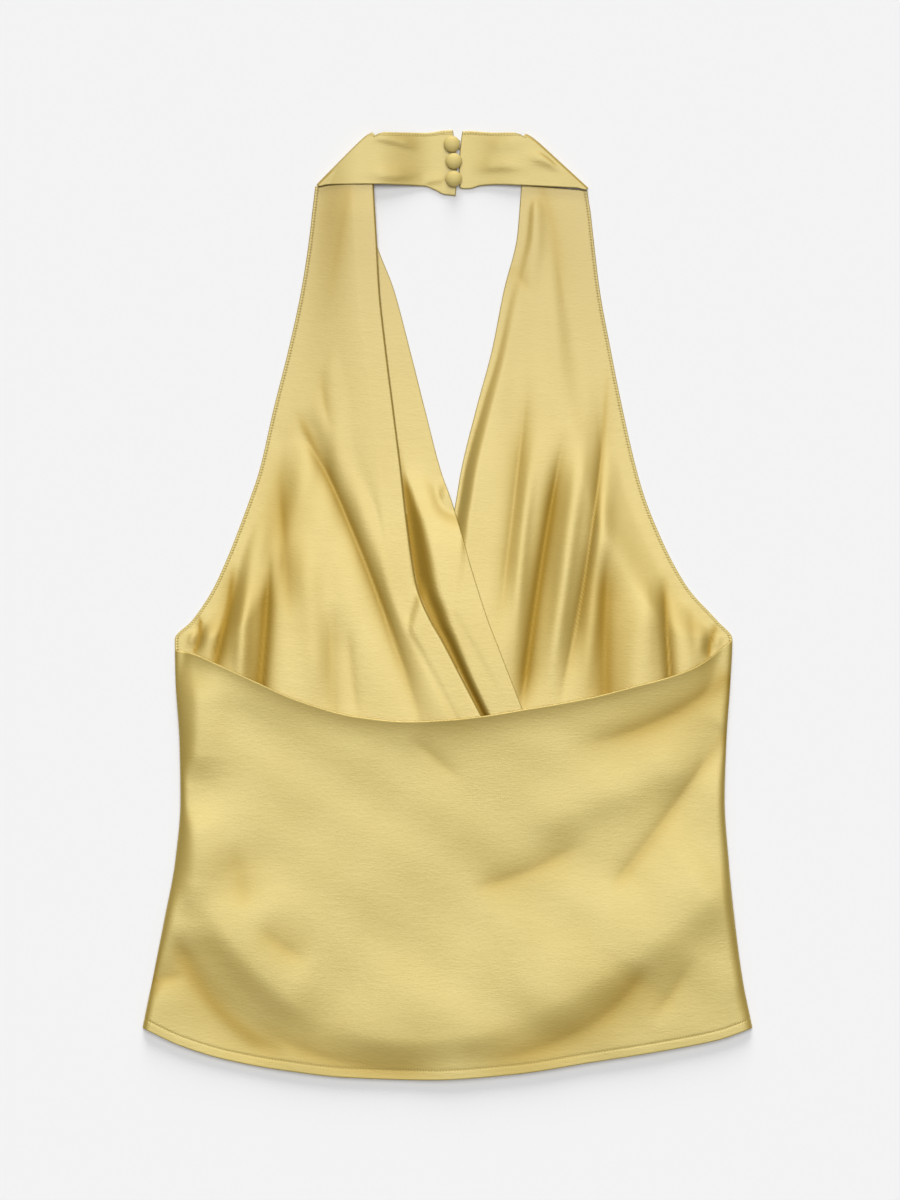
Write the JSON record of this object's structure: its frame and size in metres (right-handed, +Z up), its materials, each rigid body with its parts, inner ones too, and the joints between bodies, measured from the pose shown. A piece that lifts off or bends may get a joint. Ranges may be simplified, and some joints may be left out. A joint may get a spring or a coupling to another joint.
{
  "type": "halter neck top",
  "caption": "Sleeveless satin top lying flat, back uppermost, with crossed fronts that run up into halter straps and a buttoned neckband.",
  "frame": {"origin": "on the surface that the garment lies on, at the middle of its width and length", "axes": "+X across the garment to the viewer's right, +Y from the hem to the neckband, +Z up from the surface"},
  "size_m": [0.449, 0.6991, 0.0106],
  "materials": {
    "outer_satin": "pale gold satin, face side, soft sheen",
    "inner_satin": "pale gold satin, reverse side, soft sheen",
    "band_satin": "pale gold satin over a stiffener, topstitched",
    "button_satin": "pale gold satin stretched over button shells",
    "loop_cord": "rolled satin cord"
  },
  "bodies": {
    "root": {"back_panel": "outer_satin", "front_left": "inner_satin", "front_right": "inner_satin", "neckband_left": "band_satin", "neckband_right": "band_satin", "button_top": "button_satin", "button_middle": "button_satin", "button_bottom": "button_satin", "button_loop_top": "loop_cord", "button_loop_middle": "loop_cord", "button_loop_bottom": "loop_cord"}
  },
  "joints": []
}
